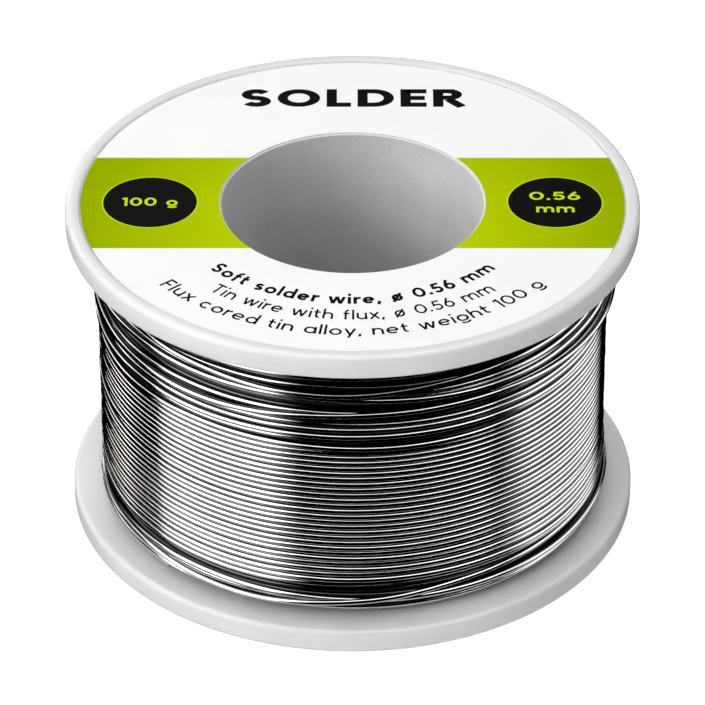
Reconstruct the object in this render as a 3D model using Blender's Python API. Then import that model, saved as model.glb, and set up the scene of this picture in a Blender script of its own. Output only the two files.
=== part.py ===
"""Solder wire spool: a flanged plastic reel with a hollow hub, two face labels and
nine wound layers of flux-cored solder wire.

Standing on its lower flange, origin at the centre of the underside, +Z up along
the spool's axis.  The back of the spool is +Y.  Driving sizes are in millimetres
and MM turns them into metres.
"""

import math

import bmesh
import bpy
from mathutils import Matrix, Vector

MM = 0.001
SEGMENTS = 60                  # sides of every round piece, all in phase

# Whole spool
HEIGHT = 33.0
FLANGE_RADIUS = 27.0
FLANGE_THICKNESS = 2.4
FLANGE_EDGE_RADIUS = 0.5       # rounding of the two outer edges of each flange
FIT_GAP = 0.05                 # clearance between pieces that touch

# Label recess in the outer face of each flange
RECESS_DEPTH = 0.35
RECESS_RADIUS = 25.7
RECESS_LIP_RADIUS = 0.15
LABEL_RADIUS = 25.55
LABEL_HOLE_RADIUS = 12.6
LABEL_THICKNESS = 0.1
LABEL_GAP = 0.03

# Hub: an inner sleeve, which is the bore, and an outer barrel, which carries the wire
BORE_RADIUS = 12.3
SLEEVE_WALL = 1.1
SLEEVE_CHAMFER = 0.2
BARREL_RADIUS = 19.72
BARREL_WALL = 1.2
BARREL_SOCKET_DEPTH = 0.8      # how far the barrel's ends sink into the flanges
RIB_COUNT = 6
RIB_THICKNESS = 1.0
RIB_GAP = 0.3                  # between a rib's inner edge and the sleeve

# Wire
WIRE_DIAMETER = 0.56
FLUX_CORE_DIAMETER = 0.18
FLUX_CORE_GAP = 0.02
LAYER_COUNT = 9
LAYER_RISE = WIRE_DIAMETER * math.cos(math.radians(30))   # a layer beds into the one below
LAYER_GAP = 0.03
WIRE_SIDES = 10

# The wire's first end goes through a hole in the barrel and turns aside in the hub
START_ANGLE = math.radians(-90)
START_HEIGHT = 3.4
START_HOLE_RADIUS = 0.7
START_BEND_RADIUS = 1.6
START_TAIL = 3.0

# The wire's last end lies on the outer layer at the back
FREE_END_FROM = math.radians(62)
FREE_END_TO = math.radians(100)
FREE_END_LOW = 25.6
FREE_END_HIGH = 27.0
FREE_END_STEPS = 16

SLEEVE_RADIUS = BORE_RADIUS + SLEEVE_WALL
INNER_FACE = HEIGHT - FLANGE_THICKNESS       # height of the upper flange's underside
WINDING_RADIUS = BARREL_RADIUS + WIRE_DIAMETER + (LAYER_COUNT - 1) * LAYER_RISE

# Base colour, roughness and metallic value of each material
MATERIALS = {
    "milky_plastic": ((0.78, 0.78, 0.77), 0.38, 0.0),
    "hub_plastic": ((0.60, 0.60, 0.60), 0.48, 0.0),
    "label_print": ((0.93, 0.93, 0.92), 0.42, 0.0),
    "solder": ((0.62, 0.62, 0.63), 0.18, 1.0),
    "flux": ((0.72, 0.50, 0.20), 0.35, 0.0),
}


# ---------------------------------------------------------------- scene helpers

def clear_scene():
    for obj in list(bpy.data.objects):
        bpy.data.objects.remove(obj, do_unlink=True)


def make_material(name, look):
    colour, roughness, metallic = MATERIALS[look]
    material = bpy.data.materials.new(name)
    material.use_nodes = True
    shader = material.node_tree.nodes["Principled BSDF"]
    shader.inputs["Base Color"].default_value = (*colour, 1.0)
    shader.inputs["Roughness"].default_value = roughness
    shader.inputs["Metallic"].default_value = metallic
    material.diffuse_color = (*colour, 1.0)
    return material


def add_piece(name, bm, look, parent):
    """Turns a bmesh in millimetres into a named, smooth-shaded object."""
    bmesh.ops.scale(bm, vec=(MM, MM, MM), verts=bm.verts)
    bmesh.ops.recalc_face_normals(bm, faces=bm.faces)
    mesh = bpy.data.meshes.new(name)
    bm.to_mesh(mesh)
    bm.free()
    mesh.shade_smooth()
    mesh.set_sharp_from_angle(angle=math.radians(35))
    mesh.materials.append(make_material(name, look))
    obj = bpy.data.objects.new(name, mesh)
    bpy.context.scene.collection.objects.link(obj)
    obj.parent = parent
    return obj


def add_empty(name):
    empty = bpy.data.objects.new(name, None)
    bpy.context.scene.collection.objects.link(empty)
    return empty


# --------------------------------------------------------------- shape helpers

def polar(radius, angle, z=0.0):
    return Vector((radius * math.cos(angle), radius * math.sin(angle), z))


def turned(profile):
    """A ring-shaped solid: a closed (radius, z) outline swept round the Z axis."""
    bm = bmesh.new()
    rings = []
    for step in range(SEGMENTS):
        angle = 2 * math.pi * step / SEGMENTS
        rings.append([bm.verts.new(polar(radius, angle, z)) for radius, z in profile])
    join_rings(bm, rings, closed=True)
    return bm


def join_rings(bm, rings, closed):
    """Quads between neighbouring rings of equal length, and round the end if closed."""
    count = len(rings[0])
    last = len(rings) if closed else len(rings) - 1
    for index in range(last):
        here = rings[index]
        there = rings[(index + 1) % len(rings)]
        for corner in range(count):
            after = (corner + 1) % count
            bm.faces.new((here[corner], there[corner], there[after], here[after]))


def arc(centre_radius, centre_z, radius, start_deg, end_deg, steps):
    """Points of a rounded corner in a (radius, z) outline."""
    points = []
    for step in range(steps + 1):
        turn = math.radians(start_deg + (end_deg - start_deg) * step / steps)
        points.append((centre_radius + radius * math.cos(turn), centre_z + radius * math.sin(turn)))
    return points


def swept_ring(bm, path, radius):
    """Rings of vertices round a path, square to it, with no twist about +Z."""
    rings = []
    for index, point in enumerate(path):
        before = path[max(index - 1, 0)]
        after = path[min(index + 1, len(path) - 1)]
        along = (after - before).normalized()
        side = along.cross(Vector((0, 0, 1))).normalized()
        up = side.cross(along)
        ring = []
        for corner in range(WIRE_SIDES):
            turn = 2 * math.pi * corner / WIRE_SIDES
            ring.append(bm.verts.new(point + (side * math.cos(turn) + up * math.sin(turn)) * radius))
        rings.append(ring)
    return rings


def swept_rod(path, radius):
    bm = bmesh.new()
    rings = swept_ring(bm, path, radius)
    join_rings(bm, rings, closed=False)
    bm.faces.new(rings[0])
    bm.faces.new(rings[-1])
    return bm


def swept_tube(path, outer_radius, inner_radius):
    bm = bmesh.new()
    outer = swept_ring(bm, path, outer_radius)
    inner = swept_ring(bm, path, inner_radius)
    join_rings(bm, outer, closed=False)
    join_rings(bm, inner, closed=False)
    for end in (0, -1):
        join_rings(bm, [outer[end], inner[end]], closed=False)
    return bm


# ---------------------------------------------------------------------- pieces

def flange_outline():
    """Outline of the upper flange, from the bore side outwards and back underneath."""
    hole = SLEEVE_RADIUS + FIT_GAP
    floor = HEIGHT - RECESS_DEPTH
    edge = FLANGE_EDGE_RADIUS
    rim = FLANGE_RADIUS - edge
    socket_outer = BARREL_RADIUS + FIT_GAP
    socket_inner = BARREL_RADIUS - BARREL_WALL - FIT_GAP
    socket_top = INNER_FACE + BARREL_SOCKET_DEPTH
    lip = RECESS_LIP_RADIUS
    outline = [(hole, INNER_FACE), (hole, floor), (RECESS_RADIUS, floor)]
    outline += arc(RECESS_RADIUS + lip, HEIGHT - lip, lip, 180, 90, 2)
    outline += arc(rim, HEIGHT - edge, edge, 90, 0, 3)
    outline += arc(rim, INNER_FACE + edge, edge, 0, -90, 3)
    outline += [(socket_outer, INNER_FACE), (socket_outer, socket_top)]
    outline += [(socket_inner, socket_top), (socket_inner, INNER_FACE)]
    return outline


def flip(outline):
    """The same outline upside down, for the lower half of the spool."""
    return [(radius, HEIGHT - z) for radius, z in outline]


def make_flanges(parent):
    add_piece("upper_flange", turned(flange_outline()), "milky_plastic", parent)
    add_piece("lower_flange", turned(flip(flange_outline())), "milky_plastic", parent)


def make_bore_sleeve(parent):
    """The inner tube, flush with the recess floors, its bore chamfered at both ends."""
    low = RECESS_DEPTH
    high = HEIGHT - RECESS_DEPTH
    chamfer = SLEEVE_CHAMFER
    outline = [
        (SLEEVE_RADIUS, low),
        (SLEEVE_RADIUS, high),
        (BORE_RADIUS + chamfer, high),
        (BORE_RADIUS, high - chamfer),
        (BORE_RADIUS, low + chamfer),
        (BORE_RADIUS + chamfer, low),
    ]
    add_piece("bore_sleeve", turned(outline), "hub_plastic", parent)


def make_hub_barrel(parent):
    """The outer tube, its ends in the flanges' sockets, with inner ribs and a wire hole."""
    low = FLANGE_THICKNESS - BARREL_SOCKET_DEPTH + FIT_GAP
    high = HEIGHT - low
    wall = BARREL_RADIUS - BARREL_WALL
    outline = [(BARREL_RADIUS, low), (BARREL_RADIUS, high), (wall, high), (wall, low)]
    barrel = add_piece("hub_barrel", turned(outline), "hub_plastic", parent)
    add_boolean(barrel, "UNION", make_ribs(parent))
    add_boolean(barrel, "DIFFERENCE", make_start_hole_cutter(parent))


def add_boolean(obj, operation, other):
    boolean = obj.modifiers.new(other.name, "BOOLEAN")
    boolean.operation = operation
    boolean.solver = "EXACT"
    boolean.object = other


def hide_guide(guide):
    guide.hide_render = True
    guide.display_type = "WIRE"


def make_ribs(parent):
    """Flat ribs that stand in from the barrel towards the sleeve, between the flanges."""
    inner = SLEEVE_RADIUS + RIB_GAP
    outer = BARREL_RADIUS - BARREL_WALL / 2
    low = FLANGE_THICKNESS + RIB_GAP
    high = INNER_FACE - RIB_GAP
    bm = bmesh.new()
    for rib in range(RIB_COUNT):
        turn = Matrix.Rotation(2 * math.pi * rib / RIB_COUNT, 4, "Z")
        place = turn @ Matrix.Translation(((inner + outer) / 2, 0, (low + high) / 2))
        size = Matrix.Diagonal((outer - inner, RIB_THICKNESS, high - low, 1))
        bmesh.ops.create_cube(bm, size=1, matrix=place @ size)
    ribs = add_piece("rib_guide", bm, "hub_plastic", parent)
    hide_guide(ribs)
    return ribs


def make_start_hole_cutter(parent):
    """A radial rod through the barrel's wall, hidden, only used to cut the hole."""
    bm = swept_rod(
        [polar(BARREL_RADIUS - 2 * BARREL_WALL, START_ANGLE, START_HEIGHT),
         polar(BARREL_RADIUS + BARREL_WALL, START_ANGLE, START_HEIGHT)],
        START_HOLE_RADIUS)
    cutter = add_piece("wire_start_hole_guide", bm, "hub_plastic", parent)
    hide_guide(cutter)
    return cutter


def make_labels(parent):
    """A thin ring of printed film in the recess of each flange."""
    low = HEIGHT - RECESS_DEPTH + LABEL_GAP
    high = low + LABEL_THICKNESS
    outline = [
        (LABEL_RADIUS, low),
        (LABEL_RADIUS, high),
        (LABEL_HOLE_RADIUS, high),
        (LABEL_HOLE_RADIUS, low),
    ]
    add_piece("top_label", turned(outline), "label_print", parent)
    add_piece("bottom_label", turned(flip(outline)), "label_print", parent)


def make_wire_layers(parent):
    """One ring for each wound layer, from the barrel outwards, between the flanges."""
    low = FLANGE_THICKNESS + FIT_GAP
    high = INNER_FACE - FIT_GAP
    first_axis = BARREL_RADIUS + WIRE_DIAMETER / 2
    for layer in range(LAYER_COUNT):
        axis = first_axis + layer * LAYER_RISE
        innermost = layer == 0
        outermost = layer == LAYER_COUNT - 1
        inside = BARREL_RADIUS + LAYER_GAP if innermost else axis - LAYER_RISE / 2
        outside = WINDING_RADIUS if outermost else axis + LAYER_RISE / 2 - LAYER_GAP
        outline = [(outside, low), (outside, high), (inside, high), (inside, low)]
        add_piece(f"wire_layer_{layer + 1}", turned(outline), "solder", parent)


def make_wire_start_end(parent):
    """The first end: in through the barrel's hole, then a quarter bend and a short tail."""
    inward = -polar(1, START_ANGLE)
    aside = Vector((0, 0, 1)).cross(inward)
    enter = polar(BARREL_RADIUS - FIT_GAP, START_ANGLE, START_HEIGHT)
    bend_from = enter + inward * (BARREL_WALL + START_HOLE_RADIUS)
    path = [enter, enter.lerp(bend_from, 0.5)]
    for step in range(7):
        turn = math.radians(90 * step / 6)
        path.append(bend_from + inward * START_BEND_RADIUS * math.sin(turn)
                    + aside * START_BEND_RADIUS * (1 - math.cos(turn)))
    path.append(path[-1] + aside * START_TAIL)
    add_piece("wire_start_end", swept_rod(path, WIRE_DIAMETER / 2), "solder", parent)


def free_end_path():
    """A gentle climb round the back of the winding, resting on its outer layer."""
    radius = WINDING_RADIUS + WIRE_DIAMETER / 2 + FIT_GAP
    path = []
    for step in range(FREE_END_STEPS + 1):
        part = step / FREE_END_STEPS
        angle = FREE_END_FROM + (FREE_END_TO - FREE_END_FROM) * part
        path.append(polar(radius, angle, FREE_END_LOW + (FREE_END_HIGH - FREE_END_LOW) * part))
    return path


def make_wire_free_end(parent):
    """The cut last end: a hollow wire with its flux core showing at the cut."""
    path = free_end_path()
    core_radius = FLUX_CORE_DIAMETER / 2
    shell = swept_tube(path, WIRE_DIAMETER / 2, core_radius + FLUX_CORE_GAP)
    add_piece("wire_free_end", shell, "solder", parent)
    add_piece("flux_core", swept_rod(path, core_radius), "flux", parent)


def build():
    clear_scene()
    spool = add_empty("solder_wire_spool")
    make_flanges(spool)
    make_bore_sleeve(spool)
    make_hub_barrel(spool)
    make_labels(spool)
    make_wire_layers(spool)
    make_wire_start_end(spool)
    make_wire_free_end(spool)


build()
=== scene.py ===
"""Looks of the solder wire spool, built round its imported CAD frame.

Lengths in the named values are millimetres and MM turns them into metres.
Angles round the spool are measured from +X, so the front is -90 degrees.
"""

import math

import bmesh
import bpy
import numpy as np
from mathutils import Matrix, Vector


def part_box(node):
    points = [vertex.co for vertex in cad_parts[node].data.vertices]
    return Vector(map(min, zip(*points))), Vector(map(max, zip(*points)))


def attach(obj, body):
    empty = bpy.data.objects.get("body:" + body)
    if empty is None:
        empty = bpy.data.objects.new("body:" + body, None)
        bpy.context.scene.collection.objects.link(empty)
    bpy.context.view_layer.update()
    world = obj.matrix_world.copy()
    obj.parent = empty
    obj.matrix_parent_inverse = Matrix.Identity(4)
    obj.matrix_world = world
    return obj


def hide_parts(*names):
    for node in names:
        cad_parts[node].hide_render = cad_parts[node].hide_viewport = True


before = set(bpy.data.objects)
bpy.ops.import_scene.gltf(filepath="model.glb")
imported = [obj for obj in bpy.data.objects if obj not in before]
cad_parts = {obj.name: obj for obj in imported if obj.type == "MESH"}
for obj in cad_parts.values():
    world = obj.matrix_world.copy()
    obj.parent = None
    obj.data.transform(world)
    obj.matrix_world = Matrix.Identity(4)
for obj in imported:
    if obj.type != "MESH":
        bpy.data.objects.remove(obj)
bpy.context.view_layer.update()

MM = 0.001

# ------------------------------------------------------------ sizes from the frame

UPPER_LOW, UPPER_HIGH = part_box("upper_flange")
LOWER_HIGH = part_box("lower_flange")[1]
LABEL_LOW, LABEL_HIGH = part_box("top_label")
UNDER_LABEL_LOW, UNDER_LABEL_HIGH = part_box("bottom_label")
SLEEVE_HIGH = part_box("bore_sleeve")[1]
BARREL_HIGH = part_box("hub_barrel")[1]
WINDING_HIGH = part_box("wire_layer_9")[1]

HEIGHT = UPPER_HIGH.z / MM
FLANGE_RADIUS = UPPER_HIGH.x / MM
INNER_TOP = UPPER_LOW.z / MM
INNER_BOTTOM = LOWER_HIGH.z / MM
LABEL_TOP = LABEL_HIGH.z / MM
LABEL_RADIUS = LABEL_HIGH.x / MM
SLEEVE_TOP = SLEEVE_HIGH.z / MM
SLEEVE_RADIUS = SLEEVE_HIGH.x / MM
BARREL_RADIUS = BARREL_HIGH.x / MM
WINDING_RADIUS = WINDING_HIGH.x / MM

# Sizes that a box can't give
BORE_RADIUS = 12.3
LABEL_HOLE_RADIUS = 12.5
RECESS_RADIUS = 25.7
EDGE_RADIUS = 0.5
WIRE = 0.56
LAYERS = 9
LAYER_RISE = WIRE * math.cos(math.radians(30))

ROUND = 256                    # segments of the turned plastic pieces


# ---------------------------------------------------------------- node materials

class Look:
    """One Principled material and the few node idioms that this scene uses."""

    def __init__(self, name, colour, roughness, metallic=0.0):
        self.material = bpy.data.materials.new(name)
        self.material.use_nodes = True
        self.tree = self.material.node_tree
        self.shader = self.tree.nodes["Principled BSDF"]
        self.set("Base Color", (*colour, 1.0))
        self.set("Roughness", roughness)
        self.set("Metallic", metallic)
        self.height = None

    def set(self, socket, value):
        self.shader.inputs[socket].default_value = value

    def node(self, kind, **settings):
        made = self.tree.nodes.new(kind)
        for key, value in settings.items():
            setattr(made, key, value)
        return made

    def link(self, source, target):
        self.tree.links.new(source, target)

    def maths(self, operation, a, b=None):
        made = self.node("ShaderNodeMath", operation=operation)
        for index, value in enumerate((a, b)):
            if isinstance(value, bpy.types.NodeSocket):
                self.link(value, made.inputs[index])
            elif value is not None:
                made.inputs[index].default_value = value
        return made.outputs[0]

    def position(self):
        return self.node("ShaderNodeTexCoord").outputs["Object"]

    def round_position(self):
        """(arc length round the spool, radius, height), with the seam at the back."""
        split = self.node("ShaderNodeSeparateXYZ")
        self.link(self.position(), split.inputs[0])
        x, y, z = split.outputs
        angle = self.maths("ARCTAN2", x, self.maths("MULTIPLY", y, -1.0))
        radius = self.maths("SQRT", self.maths("ADD", self.maths("MULTIPLY", x, x),
                                               self.maths("MULTIPLY", y, y)))
        joined = self.node("ShaderNodeCombineXYZ")
        self.link(self.maths("MULTIPLY", angle, 0.024), joined.inputs[0])
        self.link(radius, joined.inputs[1])
        self.link(z, joined.inputs[2])
        return joined.outputs[0]

    def scaled(self, vector, scale):
        made = self.node("ShaderNodeMapping", vector_type="POINT")
        made.inputs["Scale"].default_value = scale
        self.link(vector, made.inputs["Vector"])
        return made.outputs[0]

    def noise(self, vector, scale, detail=3.0, roughness=0.55):
        """Noise with features about 1 / scale across, in metres."""
        made = self.node("ShaderNodeTexNoise")
        made.inputs["Scale"].default_value = scale
        made.inputs["Detail"].default_value = detail
        made.inputs["Roughness"].default_value = roughness
        self.link(vector, made.inputs["Vector"])
        return made.outputs["Fac"]

    def remap(self, value, low, high, to_low, to_high):
        made = self.node("ShaderNodeMapRange")
        for name, number in (("From Min", low), ("From Max", high),
                             ("To Min", to_low), ("To Max", to_high)):
            made.inputs[name].default_value = number
        self.link(value, made.inputs["Value"])
        return made.outputs[0]

    def mix(self, factor, a, b):
        made = self.node("ShaderNodeMix", data_type="RGBA")
        self.link(factor, made.inputs[0])
        for socket, colour in ((made.inputs[6], a), (made.inputs[7], b)):
            if isinstance(colour, bpy.types.NodeSocket):
                self.link(colour, socket)
            else:
                socket.default_value = (*colour, 1.0)
        return made.outputs[2]

    def colour(self, source):
        self.link(source, self.shader.inputs["Base Color"])

    def rough(self, source):
        self.link(source, self.shader.inputs["Roughness"])

    def bump(self, source, depth):
        """Adds a layer of relief, depth metres from the lowest to the highest value."""
        made = self.node("ShaderNodeBump")
        made.inputs["Distance"].default_value = depth
        made.inputs["Strength"].default_value = 1.0
        self.link(source, made.inputs["Height"])
        if self.height:
            self.link(self.height, made.inputs["Normal"])
        self.height = made.outputs[0]
        self.link(self.height, self.shader.inputs["Normal"])


def milky_plastic():
    """Translucent white polystyrene: soft inside light, faint flow marks, fine wear."""
    look = Look("milky_plastic", (0.82, 0.82, 0.82), 0.34)
    look.set("Subsurface Weight", 0.7)
    look.set("Subsurface Radius", (1.0, 0.98, 0.95))
    look.set("Subsurface Scale", 0.0022)
    look.set("IOR", 1.5)
    place = look.position()
    around = look.round_position()
    cloud = look.noise(place, 110, 4)
    flow = look.noise(look.scaled(around, (60, 900, 900)), 1, 3)
    scuff = look.noise(look.scaled(around, (900, 5200, 5200)), 1, 2)
    milky = look.mix(look.remap(cloud, 0.35, 0.65, 0.0, 1.0), (0.79, 0.79, 0.795), (0.86, 0.86, 0.855))
    look.colour(look.mix(look.remap(flow, 0.5, 0.7, 0.0, 0.35), milky, (0.74, 0.74, 0.75)))
    look.rough(look.remap(scuff, 0.35, 0.7, 0.28, 0.44))
    look.bump(flow, 0.00003)
    look.bump(look.noise(place, 2600, 2), 0.000004)
    return look.material


def hub_plastic():
    """Matte plastic of the bore, with the fine grain of a spark-eroded core pin. Its grey, darker than the
    flange plastic, is painted shade for the dim inside of the bore.
    """
    look = Look("hub_plastic", (0.7, 0.7, 0.71), 0.52)
    look.set("IOR", 1.5)
    place = look.position()
    grain = look.noise(place, 5200, 2, 0.7)
    cloud = look.noise(place, 160, 3)
    # painted shade: a darker grey than the flanges' plastic, standing in for the shade inside the bore
    shade = look.mix(look.remap(cloud, 0.35, 0.65, 0.0, 1.0), (0.62, 0.62, 0.63), (0.69, 0.69, 0.70))
    look.colour(look.mix(look.remap(grain, 0.4, 0.6, 0.0, 0.3), shade, (0.50, 0.50, 0.51)))
    look.rough(look.remap(grain, 0.35, 0.65, 0.45, 0.62))
    look.bump(grain, 0.00001)
    return look.material


def paper():
    """White coated label stock: faint fibres, a satin varnish."""
    look = Look("label_paper", (0.93, 0.93, 0.93), 0.42)
    look.set("Specular IOR Level", 0.12)
    place = look.position()
    fibre = look.noise(place, 3000, 4, 0.65)
    cloud = look.noise(place, 140, 3)
    patches = look.remap(cloud, 0.3, 0.7, 0.0, 1.0)
    look.colour(look.mix(patches, (0.925, 0.928, 0.932), (0.95, 0.95, 0.948)))
    look.rough(look.remap(fibre, 0.3, 0.7, 0.36, 0.5))
    look.bump(fibre, 0.000003)
    return look.material


def ink(name, deep, bright, centre=(0.0, 0.0), reach=26.0, shine=0.0):
    """Printed ink with painted light: its colour goes from bright at a centre to deep at a reach, in
    millimetres, a pool of light painted across the flat print.
    """
    look = Look(name, bright, 0.36)
    look.set("Specular IOR Level", shine)
    place = look.position()
    offset = look.node("ShaderNodeVectorMath", operation="DISTANCE")
    look.link(look.scaled(place, (1.0, 1.0, 0.0)), offset.inputs[0])
    offset.inputs[1].default_value = (centre[0] * MM, centre[1] * MM, 0.0)
    fibre = look.noise(place, 3000, 4, 0.65)
    mottle = look.noise(place, 420, 3)
    # painted light: the ink is lighter near the centre and darker away from it
    painted_light_fade = look.remap(offset.outputs["Value"], 0.3 * reach * MM, reach * MM, 0.0, 1.0)
    painted_light_fade = look.maths("ADD", painted_light_fade, look.remap(mottle, 0.3, 0.7, -0.04, 0.04))
    look.colour(look.mix(painted_light_fade, bright, deep))
    look.rough(look.remap(fibre, 0.3, 0.7, 0.3, 0.44))
    look.bump(fibre, 0.0000025)
    return look.material


def solder():
    """Bright drawn tin alloy: fine lines along the wire, pits and a thin oxide haze, with painted shade
    that darkens it towards the contact between neighbouring turns and more on its undersides.
    """
    look = Look("solder_wire_metal", (0.80, 0.80, 0.81), 0.1, 1.0)
    around = look.round_position()
    lines = look.noise(look.scaled(around, (140, 16000, 16000)), 1, 2, 0.6)
    pits = look.noise(look.scaled(around, (2600, 9000, 9000)), 1, 2, 0.6)
    haze = look.noise(around, 240, 4)
    tone = look.mix(look.remap(haze, 0.35, 0.65, 0.0, 1.0), (0.74, 0.74, 0.75), (0.84, 0.84, 0.845))
    tone = look.mix(look.remap(lines, 0.55, 0.75, 0.0, 0.5), tone, (0.55, 0.55, 0.56))
    # painted shade: the colour goes to near black where the wire meets its neighbours, and more on the
    # undersides
    painted_crevice_shade = look.node("ShaderNodeAttribute", attribute_name="painted_crevice_shade").outputs["Fac"]
    look.colour(look.mix(look.remap(painted_crevice_shade, 0.05, 0.7, 0.0, 1.0), tone, (0.10, 0.10, 0.10)))
    look.rough(look.remap(haze, 0.3, 0.7, 0.05, 0.09))
    look.bump(lines, 0.0000012)
    look.bump(pits, 0.0000007)
    return look.material


def rosin():
    """Amber flux."""
    look = Look("flux_rosin", (0.55, 0.30, 0.07), 0.3)
    cloud = look.noise(look.position(), 4000, 3)
    look.colour(look.mix(cloud, (0.45, 0.22, 0.05), (0.70, 0.42, 0.12)))
    look.bump(cloud, 0.00001)
    return look.material


# ------------------------------------------------------------------ mesh helpers

def add_mesh(name, verts, faces, material, smooth_deg=35):
    """A piece from points in millimetres and faces, riding on the spool."""
    mesh = bpy.data.meshes.new(name)
    mesh.from_pydata(np.asarray(verts, float) * MM, [], faces)
    mesh.update()
    bm = bmesh.new()
    bm.from_mesh(mesh)
    bmesh.ops.recalc_face_normals(bm, faces=bm.faces)
    bm.to_mesh(mesh)
    bm.free()
    mesh.shade_smooth()
    mesh.set_sharp_from_angle(angle=math.radians(smooth_deg))
    mesh.materials.append(material)
    piece = bpy.data.objects.new(name, mesh)
    bpy.context.scene.collection.objects.link(piece)
    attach(piece, "root")
    return piece


def turned(name, outline, material, segments=ROUND):
    """A closed (radius, z) outline swept round the Z axis."""
    angles = np.linspace(0, 2 * math.pi, segments, endpoint=False)
    points = np.asarray(outline, float)
    count = len(points)
    radius = points[:, 0][None, :]
    verts = np.stack([
        radius * np.cos(angles)[:, None],
        radius * np.sin(angles)[:, None],
        np.repeat(points[:, 1][None, :], segments, 0),
    ], axis=2).reshape(-1, 3)
    faces = []
    for step in range(segments):
        here = step * count
        there = (step + 1) % segments * count
        for corner in range(count):
            after = (corner + 1) % count
            faces.append((here + corner, there + corner, there + after, here + after))
    return add_mesh(name, verts, faces, material)


def arc(centre_radius, centre_z, radius, start_deg, end_deg, steps):
    turns = np.radians(np.linspace(start_deg, end_deg, steps + 1))
    return [(centre_radius + radius * math.cos(t), centre_z + radius * math.sin(t)) for t in turns]


def flip(outline):
    return [(radius, HEIGHT - z) for radius, z in outline]


# ------------------------------------------------------------------ plastic pieces

def flange_outline():
    """The upper flange: bore side, recess, soft lip, rounded rim and inner face."""
    hole = SLEEVE_RADIUS + 0.03
    floor = HEIGHT - 0.35
    rim = FLANGE_RADIUS - EDGE_RADIUS
    lip = 0.15
    outline = [(hole, INNER_TOP), (hole, floor), (RECESS_RADIUS - 0.05, floor)]
    outline += arc(RECESS_RADIUS + lip, HEIGHT - lip, lip, 180, 90, 5)
    outline += arc(rim, HEIGHT - EDGE_RADIUS, EDGE_RADIUS, 90, 0, 8)
    outline += arc(rim, INNER_TOP + EDGE_RADIUS, EDGE_RADIUS, 0, -90, 8)
    outline += [(BARREL_RADIUS + 0.03, INNER_TOP), (BARREL_RADIUS + 0.03, INNER_TOP + 0.75)]
    outline += [(BARREL_RADIUS - 1.23, INNER_TOP + 0.75), (BARREL_RADIUS - 1.23, INNER_TOP)]
    return outline


def make_plastic(milky, hub):
    upper = turned("upper_flange_body", flange_outline(), milky)
    lower = turned("lower_flange_body", flip(flange_outline()), milky)
    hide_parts("upper_flange")
    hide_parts("lower_flange")
    low = HEIGHT - SLEEVE_TOP
    lip = 0.18
    outline = [(SLEEVE_RADIUS, low), (SLEEVE_RADIUS, SLEEVE_TOP)]
    outline += arc(BORE_RADIUS + lip, SLEEVE_TOP - lip, lip, 90, 180, 5)
    outline += arc(BORE_RADIUS + lip, low + lip, lip, 180, 270, 5)
    sleeve = turned("bore_sleeve_body", outline, hub)
    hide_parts("bore_sleeve")
    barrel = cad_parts["hub_barrel"]
    barrel.data.materials.clear()
    barrel.data.materials.append(hub)


# --------------------------------------------------------------------------- wire

TURN_STEPS = 160               # sections in each turn of the outer layer
FREE_END_ANGLE = math.radians(62)
FREE_END_Z = 25.6
FREE_END_RADIUS = WINDING_RADIUS + WIRE / 2 + 0.05
LAYER_TURNS = 46.1
OVER_TURNS = 2.35
TOTAL_TURNS = LAYER_TURNS + OVER_TURNS
INNER_TURNS = 47.5             # in each of the layers below
END_GAP = 0.03                 # between the first or last turn and its flange
FALL_TURNS = 0.283             # turns in which the loose wire falls most of the way to its end
LOOSE_DROP = 0.28              # how far it wanders below that path
PART_WIDTH = 0.15              # height over which a gap's push changes from down to up
PART_REACH = 1.2               # height over which that push dies away
OVER_BLEND = 0.15              # turns in which the layer passes into the loose turns
RADIUS_WAVE = 0.02             # how far the turns wander in and out
END_FROM, END_TO = 0.16, 0.11  # turns before the free end in which it comes off the layer

# How far the outer turns drift up and down, in the middle of the winding, and how much
# more near its top and its bottom, with the heights between which that sets in
DRIFT = 0.012
TOP_DRIFT, TOP_FROM, TOP_TO = 0.16, 22.0, 27.0
BOTTOM_DRIFT, BOTTOM_FROM, BOTTOM_TO = 0.09, 6.5, 4.0

# Points round the wire's section, in degrees from straight outwards, each with how much painted shade
# the wire's colour takes there, most at the contact between neighbouring turns, where shade falls
# (0 is open and 1 is at the contact). The undersides are given more than the upper sides: painted shade.
SECTION = [
    (-135, 1.0), (-90, 1.0), (-62, 0.8), (-42, 0.45), (-21, 0.12), (0, 0.0),
    (21, 0.0), (42, 0.0), (57, 0.45), (74, 1.0), (105, 1.0), (160, 1.0),
]

# Lens-shaped gaps in the outer layer: azimuth of the middle, height, half length in
# degrees, and how far the turns above and below it part.
GAPS = [
    (-77, 21.4, 46, 0.22), (-150, 21.4, 27, 0.20), (-112, 21.4, 22, 0.08),
    (-153, 25.2, 27, 0.20), (-62, 28.7, 48, 0.16), (-95, 26.9, 22, 0.12),
    (-62, 23.9, 34, 0.16), (-120, 27.6, 22, 0.10), (-30, 26.0, 26, 0.12),
    (-70, 5.2, 46, 0.42), (-128, 4.3, 32, 0.18), (-38, 4.9, 34, 0.16),
    (20, 6.0, 40, 0.24), (75, 24.2, 45, 0.26), (140, 26.5, 50, 0.30),
    (110, 5.0, 45, 0.26), (178, 22.6, 40, 0.22), (30, 22.0, 35, 0.20),
]

# Single turns that sag across the ones below them: turn, azimuth of the lowest point, half
# length in degrees, and how far it drops.
SAGS = [
    (4, -118, 44, 1.35), (43, -100, 55, 0.9), (41, -52, 50, 0.8), (38, -128, 46, 0.7),
    (45, -62, 42, 0.8), (42, 130, 55, 0.8),
]


def smoothstep(value, low, high):
    part = np.clip((value - low) / (high - low), 0, 1)
    return part * part * (3 - 2 * part)


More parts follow.
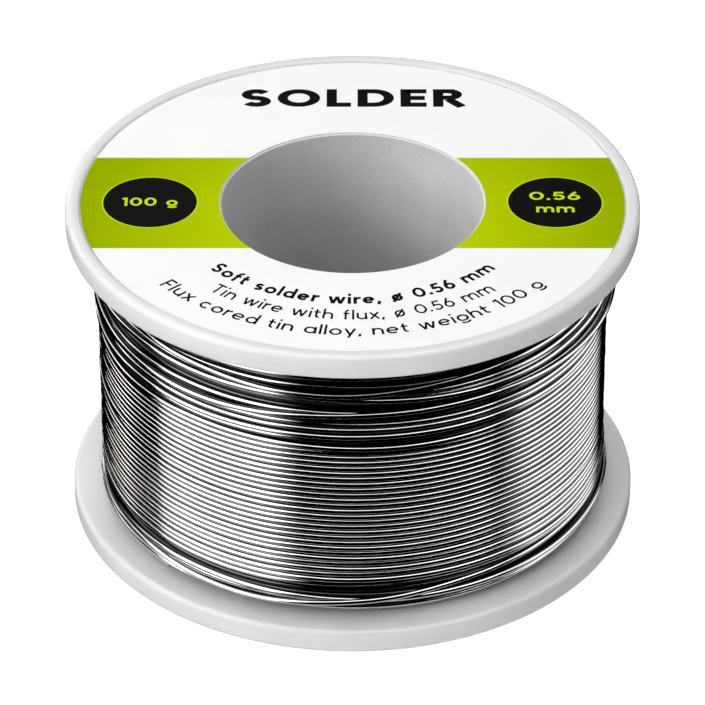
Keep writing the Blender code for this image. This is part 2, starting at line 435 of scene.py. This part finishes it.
def wander(turns, seed, slow, fast, count=7):
    """A smooth wave of unit size along the wire, with no period of one turn."""
    rng = np.random.default_rng(seed)
    total = np.zeros_like(turns)
    for _ in range(count):
        total += np.sin(2 * math.pi * rng.uniform(slow, fast) * turns + rng.uniform(0, 2 * math.pi))
    return total / math.sqrt(count / 2)


def parted(height, angle, low, pitch, gap):
    """How far each section moves to open one gap between two neighbouring turns."""
    azimuth, centre, half_arc, push = gap
    aside = (np.degrees(angle) - azimuth + 180) % 360 - 180
    phase = TOTAL_TURNS - (math.radians(azimuth) - FREE_END_ANGLE) / (2 * math.pi)
    turn = round((centre - low) / pitch - phase - 0.5) + 0.5 + phase
    above = height - (low + pitch * turn - pitch * aside / 360)
    along = smoothstep(1 - np.abs(aside) / half_arc, 0, 1)
    return push * along * np.tanh(above / PART_WIDTH) * np.exp(-np.abs(above) / PART_REACH)


def sagged(turns, sag):
    """How far each section of one turn drops to lie across the turns below it."""
    turn, azimuth, half_arc, drop = sag
    phase = TOTAL_TURNS - (math.radians(azimuth) - FREE_END_ANGLE) / (2 * math.pi)
    middle = round(turn - phase) + phase
    return drop * smoothstep(1 - np.abs(turns - middle) * 360 / half_arc, 0, 1)


def stacked(height, base, steps):
    """Radius of each section of a wire wound in order: it lies on the base radius, or
    is lifted over the earlier turns of its own layer that it crosses. The lifts add up
    where lifted turns are crossed in turn, so the top and bottom turns stand up to 1.5 mm
    out, and some crossings (49 pairs of sections) still cut into each other, by up to
    0.41 mm."""
    radius = np.full_like(height, base)
    reach = 6
    for start in range(steps, len(height), steps):
        end = min(start + steps, len(height))
        rest = np.full(end - start, base)
        for back in list(range(1, min(reach, start // steps) + 1)) * 3:
            earlier = slice(start - back * steps, end - back * steps)
            apart = np.abs(height[start:end] - height[earlier])
            climb = np.sqrt(np.clip(WIRE ** 2 - apart ** 2, 0, None))
            clash = np.abs(rest - radius[earlier]) < climb - 0.02
            rest = np.where(clash, radius[earlier] + climb, rest)
        radius[start:end] = rest
        lead = max(start - steps // 4, 0)
        radius[lead:end] = eased(radius[lead:end], max(start - lead, 0))
    return radius


def eased(radius, keep):
    """Spreads each climb along the wire, as a stiff wire does, leaving the first part."""
    wide = 6
    padded = np.pad(radius, wide, mode="edge")
    highest = np.max([padded[k:k + len(radius)] for k in range(2 * wide + 1)], axis=0)
    window = np.hanning(2 * wide + 3)[1:-1]
    window /= window.sum()
    smooth = np.convolve(np.pad(highest, wide, mode="edge"), window, mode="valid")
    blend = smoothstep(np.arange(len(radius)), keep - 2 * wide, keep)
    return radius * (1 - blend) + smooth * blend


def wire_mesh(name, radius, height, angle, section, material):
    """A tube of the wire's thickness along a path round the spool, closed at both ends."""
    ring = np.radians([degrees for degrees, _ in section])
    count = len(ring)
    out = radius[:, None] + WIRE / 2 * np.cos(ring)[None, :]
    up = height[:, None] + WIRE / 2 * np.sin(ring)[None, :]
    verts = np.stack([out * np.cos(angle)[:, None], out * np.sin(angle)[:, None], up], 2).reshape(-1, 3)
    here = np.arange(len(radius) - 1)[:, None] * count
    corner = np.arange(count)[None, :]
    after = (corner + 1) % count
    quads = np.stack([here + corner, here + after, here + count + after, here + count + corner], 2)
    faces = [tuple(quad) for quad in quads.reshape(-1, 4).tolist()]
    faces.append(tuple(range(count)))
    faces.append(tuple(range(len(verts) - 1, len(verts) - 1 - count, -1)))
    piece = add_mesh(name, verts, faces, material, smooth_deg=60)
    # the weights of the painted shade between turns, which the solder material reads
    painted_crevice_shade = piece.data.attributes.new("painted_crevice_shade", "FLOAT", "POINT")
    painted_crevice_shade.data.foreach_set("value", np.tile([depth for _, depth in section], len(radius)))
    return piece


def outer_layer():
    """Path of the last layer, wound upwards, and of the few loose turns on top of it,
    which fall to the wire's free end at the back."""
    low = INNER_BOTTOM + WIRE / 2 + END_GAP
    high = INNER_TOP - WIRE / 2 - END_GAP
    pitch = (high - low) / LAYER_TURNS
    count = int(TOTAL_TURNS * TURN_STEPS)
    turns = TOTAL_TURNS * np.arange(count) / (count - 1)
    left = TOTAL_TURNS - turns
    angle = FREE_END_ANGLE + 2 * math.pi * left
    rising = low + pitch * turns
    drift = (DRIFT + TOP_DRIFT * smoothstep(rising, TOP_FROM, TOP_TO)
             + BOTTOM_DRIFT * smoothstep(-rising, -BOTTOM_FROM, -BOTTOM_TO))
    rising = rising + drift * wander(turns, 11, 0.15, 0.9)
    rising = rising + sum(parted(rising, angle, low, pitch, gap) for gap in GAPS)
    rising = rising - sum(sagged(turns, sag) for sag in SAGS)
    falling = FREE_END_Z + (high - FREE_END_Z) * (1 - np.exp(-left / FALL_TURNS))
    loose = (1 + wander(turns, 5, 0.3, 0.9)) / 2
    falling = falling - LOOSE_DROP * smoothstep(left, 0.25, 0.8) * loose
    over = smoothstep(turns, LAYER_TURNS - OVER_BLEND, LAYER_TURNS + OVER_BLEND)
    height = np.clip(rising * (1 - over) + falling * over, low, high)
    radius = stacked(height, WINDING_RADIUS - WIRE / 2, TURN_STEPS)
    radius = radius + RADIUS_WAVE * wander(turns, 3, 0.1, 0.8) * (1 - over)
    end = smoothstep(-left, -END_FROM, -END_TO)
    return radius * (1 - end) + FREE_END_RADIUS * end, height, angle


def inner_layer(layer, steps):
    """Path of one of the layers below, a plain helix: one layer rises and the next falls.
    The layers aren't joined to each other."""
    low = INNER_BOTTOM + WIRE / 2 + END_GAP
    high = INNER_TOP - WIRE / 2 - END_GAP
    turns = np.arange(int(INNER_TURNS * steps)) / steps
    angle = FREE_END_ANGLE - 2 * math.pi * turns
    share = turns / turns[-1]
    if layer % 2:
        share = 1 - share
    height = low + (high - low) * share
    radius = np.full_like(height, BARREL_RADIUS + WIRE / 2 + (layer - 1) * LAYER_RISE)
    return radius, height, angle


def make_wire(metal, flux):
    outer = wire_mesh("solder_wire_layer_9", *outer_layer(), SECTION, metal)
    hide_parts("wire_layer_9", "wire_free_end")
    eight_sides = [(45 * k, 0.7) for k in range(8)]
    six_sides = [(60 * k, 1.0) for k in range(6)]
    for layer in range(1, LAYERS):
        near = layer == LAYERS - 1
        path = inner_layer(layer, 120 if near else 60)
        piece = wire_mesh(f"solder_wire_layer_{layer}", *path, eight_sides if near else six_sides, metal)
        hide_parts(f"wire_layer_{layer}")
    for node, material in (("wire_start_end", metal), ("flux_core", flux)):
        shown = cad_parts[node]
        shown.data.materials.clear()
        shown.data.materials.append(material)


# -------------------------------------------------------------------------- labels

INK_LIFT = 0.004               # between one ink and what it is printed on
INK_THICKNESS = 0.004
STROKE_STEP = 0.0012           # between strokes that cross in one letter
BAND_HALF = 8.0
DISC_RADIUS = 4.4
DISC_OUTLINE = 0.14
DISC_CENTRE = 19.0
ART_SHIFT = -0.25              # of the band and the discs from the bore's axis, to the front


def flat_piece(name, loop, level, material):
    """A thin plate of ink with that outline, its underside at a level above the label."""
    low = LABEL_TOP + INK_LIFT + level * (INK_LIFT + INK_THICKNESS)
    count = len(loop)
    verts = [(x, y, low) for x, y in loop] + [(x, y, low + INK_THICKNESS) for x, y in loop]
    faces = [tuple(range(count - 1, -1, -1)), tuple(range(count, 2 * count))]
    for index in range(count):
        after = (index + 1) % count
        faces.append((index, after, count + after, count + index))
    add_mesh(name, verts, faces, material, smooth_deg=20)


def arc_points(radius, start, end, steps, centre=(0.0, 0.0)):
    angles = np.linspace(start, end, steps + 1)
    return [(centre[0] + radius * math.cos(a), centre[1] + radius * math.sin(a)) for a in angles]


def band_loop(side):
    """One half of the coloured band, between the label's hole and its outer edge."""
    outer = LABEL_RADIUS - 0.01
    inner = LABEL_HOLE_RADIUS + 0.01
    high, low = ART_SHIFT + BAND_HALF, ART_SHIFT - BAND_HALF
    loop = arc_points(outer, math.asin(low / outer), math.asin(high / outer), 40)
    loop += arc_points(inner, math.asin(high / inner), math.asin(low / inner), 60)
    return loop if side > 0 else [(-x, y) for x, y in reversed(loop)]


X_HEIGHT = 0.70                # of the small letters, where capitals are 1 high
ASCENT = 1.04
DESCENT = 0.26
LETTER_GAP = 0.15


def letter_shapes(weight):
    """Wide geometric letters as pen strokes: each is (advance, strokes), where capitals
    are 1 high and the pen is weight wide."""
    h = weight / 2
    mid = X_HEIGHT / 2
    bowl = 0.37
    across = bowl - h
    rise = mid - h
    right = 2 * bowl - h

    def curve(x, y, wide, high, start, end):
        steps = max(int(abs(end - start) / 15), 4)
        turns = np.radians(np.linspace(start, end, steps + 1))
        return [(x + wide * math.cos(t), y + high * math.sin(t)) for t in turns]

    def bar(x0, y0, x1, y1):
        return [(x0, y0), (x1, y1)]

    def arch(x, width):
        half = width / 2
        top = X_HEIGHT - h - half * 0.92
        return curve(x + half, top, half, half * 0.92, 180, 0) + [(x + width, 0)]

    round_letter = curve(bowl, mid, across, rise, 0, 360)
    stem = bar(right, 0, right, X_HEIGHT)
    cap_r = 0.5 - h
    dot = bar(h, 0, h, weight * 1.15)
    zero = curve(0.40, 0.5, 0.40 - h, cap_r, 0, 360)
    shapes = {
        "o": (2 * bowl, [round_letter]),
        "a": (2 * bowl, [round_letter, stem]),
        "d": (2 * bowl, [round_letter, bar(right, 0, right, ASCENT)]),
        "g": (2 * bowl, [round_letter, [(right, X_HEIGHT), (right, 0.02)]
                         + curve(bowl, 0.02, across, DESCENT - h + 0.02, 0, -150)]),
        "c": (2 * bowl - 0.06, [curve(bowl, mid, across, rise, 48, 312)]),
        "e": (2 * bowl, [curve(bowl, mid, across, rise, 0, 316), bar(weight * 0.7, mid, right, mid)]),
        "l": (weight, [bar(h, 0, h, ASCENT)]),
        "i": (weight, [bar(h, 0, h, X_HEIGHT), bar(h, ASCENT - weight * 1.15, h, ASCENT)]),
        "r": (0.40, [bar(h, 0, h, X_HEIGHT), curve(h + 0.30, mid + 0.02, 0.30, mid - h - 0.02, 180, 80)]),
        "n": (2 * bowl - 0.06, [bar(h, 0, h, X_HEIGHT), arch(h, 2 * bowl - 0.06 - weight)]),
        "h": (2 * bowl - 0.06, [bar(h, 0, h, ASCENT), arch(h, 2 * bowl - 0.06 - weight)]),
        "m": (1.12, [bar(h, 0, h, X_HEIGHT), arch(h, 0.56 - h), arch(0.56, 0.56 - h)]),
        "u": (2 * bowl - 0.06, [[(h, X_HEIGHT)]
                                + curve(bowl - 0.03, 0.30, bowl - 0.03 - h, 0.30 - h, 180, 360)
                                + [(2 * bowl - 0.06 - h, X_HEIGHT)],
                                bar(right - 0.06, 0, right - 0.06, 0.3)]),
        "t": (0.44, [bar(0.17, 0.92, 0.17, 0.26)[:1] + curve(0.36, 0.24, 0.19, 0.24 - h, 180, 275),
                     bar(0.0, X_HEIGHT - h, 0.42, X_HEIGHT - h)]),
        "f": (0.42, [bar(0.16, 0, 0.16, 0.8)[:1] + curve(0.36, 0.80, 0.20, ASCENT - 0.80 - h, 180, 85),
                     bar(0.0, X_HEIGHT - h, 0.40, X_HEIGHT - h)]),
        "w": (1.02, [bar(0.06, X_HEIGHT, 0.29, 0), bar(0.29, 0, 0.51, X_HEIGHT),
                     bar(0.51, X_HEIGHT, 0.73, 0), bar(0.73, 0, 0.96, X_HEIGHT)]),
        "x": (0.64, [bar(0.05, 0, 0.59, X_HEIGHT), bar(0.05, X_HEIGHT, 0.59, 0)]),
        "y": (0.68, [bar(0.05, X_HEIGHT, 0.34, 0.03), bar(0.63, X_HEIGHT, 0.22, -DESCENT)]),
        "s": (0.54, [curve(0.27, 0.75 * X_HEIGHT - h / 2, 0.27 - h, 0.25 * X_HEIGHT - h / 2, 30, 270)
                     + curve(0.27, 0.25 * X_HEIGHT + h / 2, 0.27 - h, 0.25 * X_HEIGHT - h / 2, 90, -150)]),
        "F": (0.58, [bar(h, 0, h, 1), bar(h, 0.48, 0.52, 0.48), bar(h, 1 - h, 0.58, 1 - h)]),
        "S": (0.68, [curve(0.34, 0.75 - h / 2, 0.34 - h, 0.25 - h / 2, 28, 270)
                     + curve(0.34, 0.25 + h / 2, 0.34 - h, 0.25 - h / 2, 90, -152)]),
        "O": (0.98, [curve(0.49, 0.5, 0.49 - h, cap_r, 0, 360)]),
        "L": (0.56, [[(h, 1), (h, h), (0.56, h)]]),
        "D": (0.84, [[(h, h), (0.36, h)] + curve(0.38, 0.5, 0.46 - h, cap_r, -90, 90) + [(h, 1 - h)],
                     bar(h, 0, h, 1)]),
        "E": (0.60, [bar(h, 0, h, 1), bar(h, h, 0.60, h), bar(h, 0.5, 0.56, 0.5),
                     bar(h, 1 - h, 0.60, 1 - h)]),
        "R": (0.70, [bar(h, 0, h, 1), [(h, 1 - h), (0.38, 1 - h)]
                     + curve(0.38, 0.70, 0.29 - h, 0.30 - h, 90, -90) + [(h, 0.40 + h)],
                     bar(0.36, 0.42, 0.66, 0)]),
        "T": (0.72, [bar(0.36, 0, 0.36, 1), bar(0.0, 1 - h, 0.72, 1 - h)]),
        "0": (0.80, [zero]),
        "1": (0.34, [bar(0.34 - h, 0, 0.34 - h, 1), bar(0.0, 0.84, 0.34 - h, 1 - h)]),
        "5": (0.64, [[(0.58, 1 - h), (0.16, 1 - h), (0.11, 0.54)]
                     + curve(0.31, 0.33, 0.33 - h, 0.33 - h, 125, -150)]),
        "6": (0.68, [curve(0.34, 0.33, 0.34 - h, 0.33 - h, 0, 360), bar(0.10, 0.44, 0.44, 1)]),
        ".": (weight, [dot]),
        ",": (weight, [bar(h * 1.2, weight, h * 0.4, -0.14)]),
        "Ø": (0.80, [curve(0.40, mid, 0.34 - h, mid - h, 0, 360),
                     bar(0.10, -0.06, 0.70, X_HEIGHT + 0.06)]),
        " ": (0.34, []),
    }
    return shapes


def lettering(name, words, cap, level, material, place, weight, length=None, bend=None):
    """Flat printed lettering with capitals cap high. place is the middle of the line's
    baseline, or, with bend, the angle of its middle, and bend is the radius of the
    baseline about the bore. length is how far the line reaches from end to end. A stroke
    mustn't repeat a point: the g does, which leaves broken vertices in its tail."""
    shapes = letter_shapes(weight)
    width = sum(shapes[letter][0] for letter in words) + LETTER_GAP * (len(words) - 1)
    stretch = length / (width * cap) if length else 1.0
    low = LABEL_TOP + INK_LIFT + level * (INK_LIFT + INK_THICKNESS)
    verts, faces = [], []
    pen = -width / 2
    for letter in words:
        advance, strokes = shapes[letter]
        for order, stroke in enumerate(strokes):
            line = np.array(stroke, float)
            leg = np.diff(line, axis=0)
            leg /= np.linalg.norm(leg, axis=1)[:, None]
            closed = np.allclose(line[0], line[-1])
            before = np.vstack([leg[-1:] if closed else leg[:1], leg])
            ahead = np.vstack([leg, leg[:1] if closed else leg[-1:]])
            along = before + ahead
            along /= np.linalg.norm(along, axis=1)[:, None]
            mitre = 1 / np.clip((along * ahead).sum(1), 0.5, 1)
            side = np.stack([-along[:, 1], along[:, 0]], 1) * (weight / 2 * mitre)[:, None]
            first = len(verts)
            foot = low + STROKE_STEP * (order % 3)
            for point, reach in zip(line, side):
                for edge in (point + reach, point - reach):
                    x, y = (pen + edge[0]) * cap * stretch, edge[1] * cap
                    if bend:
                        turn = math.radians(place) + x / bend
                        x, y = (bend - y) * math.cos(turn), (bend - y) * math.sin(turn)
                    else:
                        x, y = x + place[0], y + place[1]
                    verts += [(x, y, foot), (x, y, foot + INK_THICKNESS)]
            for step in range(len(line) - 1):
                at = first + 4 * step
                faces += [(at, at + 2, at + 6, at + 4), (at + 1, at + 5, at + 7, at + 3),
                          (at, at + 4, at + 5, at + 1), (at + 2, at + 3, at + 7, at + 6)]
            last = first + 4 * (len(line) - 1)
            faces += [(first, first + 1, first + 3, first + 2), (last, last + 2, last + 3, last + 1)]
        pen += advance + LETTER_GAP
    add_mesh(name, verts, faces, material, smooth_deg=20)


def label_outline(low, high):
    soft = 0.03
    return [
        (LABEL_RADIUS, low),
        (LABEL_RADIUS, high - soft),
        (LABEL_RADIUS - soft, high),
        (LABEL_HOLE_RADIUS + soft, high),
        (LABEL_HOLE_RADIUS, high - soft),
        (LABEL_HOLE_RADIUS, low),
    ]


def make_labels(white, green, lime, black):
    top = turned("top_label_paper", label_outline(LABEL_LOW.z / MM, LABEL_TOP), white)
    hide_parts("top_label")
    under_low = UNDER_LABEL_LOW.z / MM
    under_high = UNDER_LABEL_HIGH.z / MM
    outline = [(r, under_low + under_high - z) for r, z in label_outline(under_low, under_high)]
    under = turned("bottom_label_paper", outline, white)
    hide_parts("bottom_label")
    for side, word in ((-1, "left"), (1, "right")):
        centre = (side * DISC_CENTRE, ART_SHIFT)
        flat_piece(f"band_{word}", band_loop(side), 0, green)
        ring = arc_points(DISC_RADIUS + DISC_OUTLINE, 0, 2 * math.pi, 96, centre)[:-1]
        flat_piece(f"disc_outline_{word}", ring, 1, lime)
        flat_piece(f"disc_{word}", arc_points(DISC_RADIUS, 0, 2 * math.pi, 96, centre)[:-1], 2, black)
    lettering("weight_text", "100 g", 1.45, 3, lime, (-DISC_CENTRE, ART_SHIFT - 0.65), 0.19, 5.2)
    lettering("gauge_text_number", "0.56", 1.42, 3, lime, (DISC_CENTRE, ART_SHIFT + 0.40), 0.18, 4.8)
    lettering("gauge_text_unit", "mm", 1.42, 3, lime, (DISC_CENTRE, ART_SHIFT - 1.80), 0.18, 3.6)
    lettering("title_text", "SOLDER", 3.3, 0, black, (0.0, 17.2), 0.235, 21.5)
    lettering("line_text_1", "Soft solder wire, Ø 0.56 mm", 1.62, 0, black, -90, 0.20, 29.8, bend=17.7)
    lettering("line_text_2", "Tin wire with flux, Ø 0.56 mm", 1.55, 0, black, -90, 0.145, 28.6, bend=20.3)
    lettering("line_text_3", "Flux cored tin alloy, net weight 100 g", 1.55, 0, black, -90, 0.145, 40.5,
              bend=22.9)


# --------------------------------------------------------------- stage and light

def emitter(name, centre, aim, width, height, strength, soft=0.1, card=False):
    """A glowing panel that faces a point and isn't seen by the camera. Its glow fades
    over the outer share of its half width and half height. A softbox lights matte
    surfaces and a card is what the bright ones mirror."""
    mesh = bpy.data.meshes.new(name)
    half_w, half_h = width / 2, height / 2
    corners = [(-half_w, -half_h, 0), (half_w, -half_h, 0), (half_w, half_h, 0), (-half_w, half_h, 0)]
    mesh.from_pydata(corners, [], [(0, 1, 2, 3)])
    look = Look(name, (0.0, 0.0, 0.0), 1.0)
    split = look.node("ShaderNodeSeparateXYZ")
    look.link(look.position(), split.inputs[0])
    glow = strength
    for axis, half in ((0, half_w), (1, half_h)):
        far = look.maths("ABSOLUTE", split.outputs[axis])
        glow = look.maths("MULTIPLY", look.remap(far, half * (1 - soft), half, 1.0, 0.0), glow)
    look.set("Emission Color", (1.0, 1.0, 1.0, 1.0))
    look.set("Specular IOR Level", 0.0)
    look.link(glow, look.shader.inputs["Emission Strength"])
    mesh.materials.append(look.material)
    panel = bpy.data.objects.new(name, mesh)
    bpy.context.scene.collection.objects.link(panel)
    away = Vector(centre) - Vector(aim)
    panel.matrix_world = Matrix.Translation(centre) @ away.to_track_quat("Z", "Y").to_matrix().to_4x4()
    panel.visible_camera = False
    panel.visible_diffuse = not card
    panel.visible_glossy = card


def around(azimuth, elevation, distance):
    """A point round the spool: azimuth 0 is the camera's side, 90 its right."""
    a, e = math.radians(azimuth), math.radians(elevation)
    return Vector((math.sin(a) * math.cos(e), -math.cos(a) * math.cos(e), math.sin(e))) * distance


FLOOR_HALF = 3                 # metres
FLOOR_LEVEL = -0.00005         # metres
SHADE_RADIUS = 14.0            # a dark disc under the bore, which the camera doesn't see
SHADE_LEVEL = -0.00003         # metres
SHADE_SIDES = 48
WORLD_LIGHT = 0.28             # from all round, for all but mirrored rays


def make_stage():
    middle = (0.0, 0.0, HEIGHT / 2 * MM)
    emitter("key_softbox", around(-54, 27, 0.60), middle, 0.50, 0.40, 5.0)
    emitter("fill_softbox", around(72, 12, 0.60), middle, 0.45, 0.45, 0.8)
    emitter("ceiling", (0.0, 0.10, 0.80), (0.0, 0.0, 0.0), 1.2, 1.1, 1.58)
    emitter("bounce", around(4, -42, 0.60), middle, 1.0, 0.6, 1.95)
    emitter("ceiling_card", (0.0, 0.115, 0.80), (0.0, 0.115, 0.0), 2.8, 1.35, 3.1, 0.02, card=True)
    emitter("left_card", around(-58, 20, 0.60), middle, 0.70, 0.74, 2.8, 0.3, card=True)
    emitter("left_low_card", around(-59, -28, 0.62), middle, 0.70, 0.34, 0.50, 0.3, card=True)
    emitter("right_card", around(101, 22, 0.60), middle, 0.70, 0.60, 1.6, 0.3, card=True)
    emitter("right_low_card", around(101, -22, 0.62), middle, 0.68, 0.40, 0.30, 0.3, card=True)
    emitter("left_back_card", around(-140, 36, 0.90), middle, 1.10, 0.70, 1.8, 0.05, card=True)
    emitter("left_far_card", around(-160, 4, 0.95), middle, 0.80, 0.50, 1.7, 0.1, card=True)
    emitter("right_back_card", around(152, 40, 0.90), middle, 0.80, 0.44, 1.2, 0.05, card=True)
    emitter("right_far_card", around(160, 8, 0.95), middle, 0.60, 0.24, 0.9, 0.1, card=True)
    floor_mesh = bpy.data.meshes.new("floor")
    corners = [(x * FLOOR_HALF, y * FLOOR_HALF, 0) for x, y in ((-1, -1), (1, -1), (1, 1), (-1, 1))]
    floor_mesh.from_pydata(corners, [], [(0, 1, 2, 3)])
    floor = bpy.data.objects.new("floor", floor_mesh)
    bpy.context.scene.collection.objects.link(floor)
    floor.location.z = FLOOR_LEVEL
    shade_mesh = bpy.data.meshes.new("bore_shade")
    rim = arc_points(SHADE_RADIUS, 0, 2 * math.pi, SHADE_SIDES)[:-1]
    shade_mesh.from_pydata([(x * MM, y * MM, SHADE_LEVEL) for x, y in rim], [], [tuple(range(SHADE_SIDES))])
    shade_mesh.materials.append(Look("bore_shade", (0.05, 0.05, 0.05), 0.9).material)
    shade = bpy.data.objects.new("bore_shade", shade_mesh)
    bpy.context.scene.collection.objects.link(shade)
    shade.visible_camera = False
    look = Look("floor", (0.95, 0.95, 0.95), 0.8)
    look.set("Emission Color", (1.0, 1.0, 1.0, 1.0))
    look.set("Emission Strength", 0.6)
    floor_mesh.materials.append(look.material)
    floor.visible_glossy = False
    floor.visible_diffuse = False
    world = bpy.data.worlds.new("studio")
    world.use_nodes = True
    tree = world.node_tree
    background = tree.nodes["Background"]
    path = tree.nodes.new("ShaderNodeLightPath")
    level = tree.nodes.new("ShaderNodeMapRange")
    level.inputs["To Min"].default_value = WORLD_LIGHT
    level.inputs["To Max"].default_value = 0.0
    tree.links.new(path.outputs["Is Glossy Ray"], level.inputs["Value"])
    tree.links.new(level.outputs[0], background.inputs["Strength"])
    background.inputs["Color"].default_value = (1, 1, 1, 1)
    bpy.context.scene.world = world


CAMERA_DISTANCE = 500.0
CAMERA_ELEVATION = 33.6
CAMERA_LENS = 266.8
AIM_HEIGHT = 15.7


def make_camera():
    data = bpy.data.cameras.new("camera")
    data.lens = CAMERA_LENS
    data.sensor_width = 36.0
    data.clip_start = 0.05
    data.clip_end = 20.0
    camera = bpy.data.objects.new("camera", data)
    bpy.context.scene.collection.objects.link(camera)
    back = around(0, CAMERA_ELEVATION, 1.0)
    camera.location = Vector((0, 0, AIM_HEIGHT * MM)) + back * CAMERA_DISTANCE * MM
    camera.rotation_euler = back.to_track_quat("Z", "Y").to_euler()
    bpy.context.scene.camera = camera


make_camera()
make_stage()
make_plastic(milky_plastic(), hub_plastic())
make_wire(solder(), rosin())
make_labels(
    paper(),
    # the green ink's painted light is brightest at this centre, towards the front of the label
    ink("green_ink", (0.31, 0.42, 0.0), (0.52, 0.66, 0.002), centre=(0.0, -5.0)),
    ink("lime_ink", (0.55, 0.75, 0.003), (0.60, 0.80, 0.005)),
    ink("black_ink", (0.003, 0.003, 0.003), (0.004, 0.004, 0.004), shine=0.008),
)
bpy.context.scene.view_settings.view_transform = "Standard"
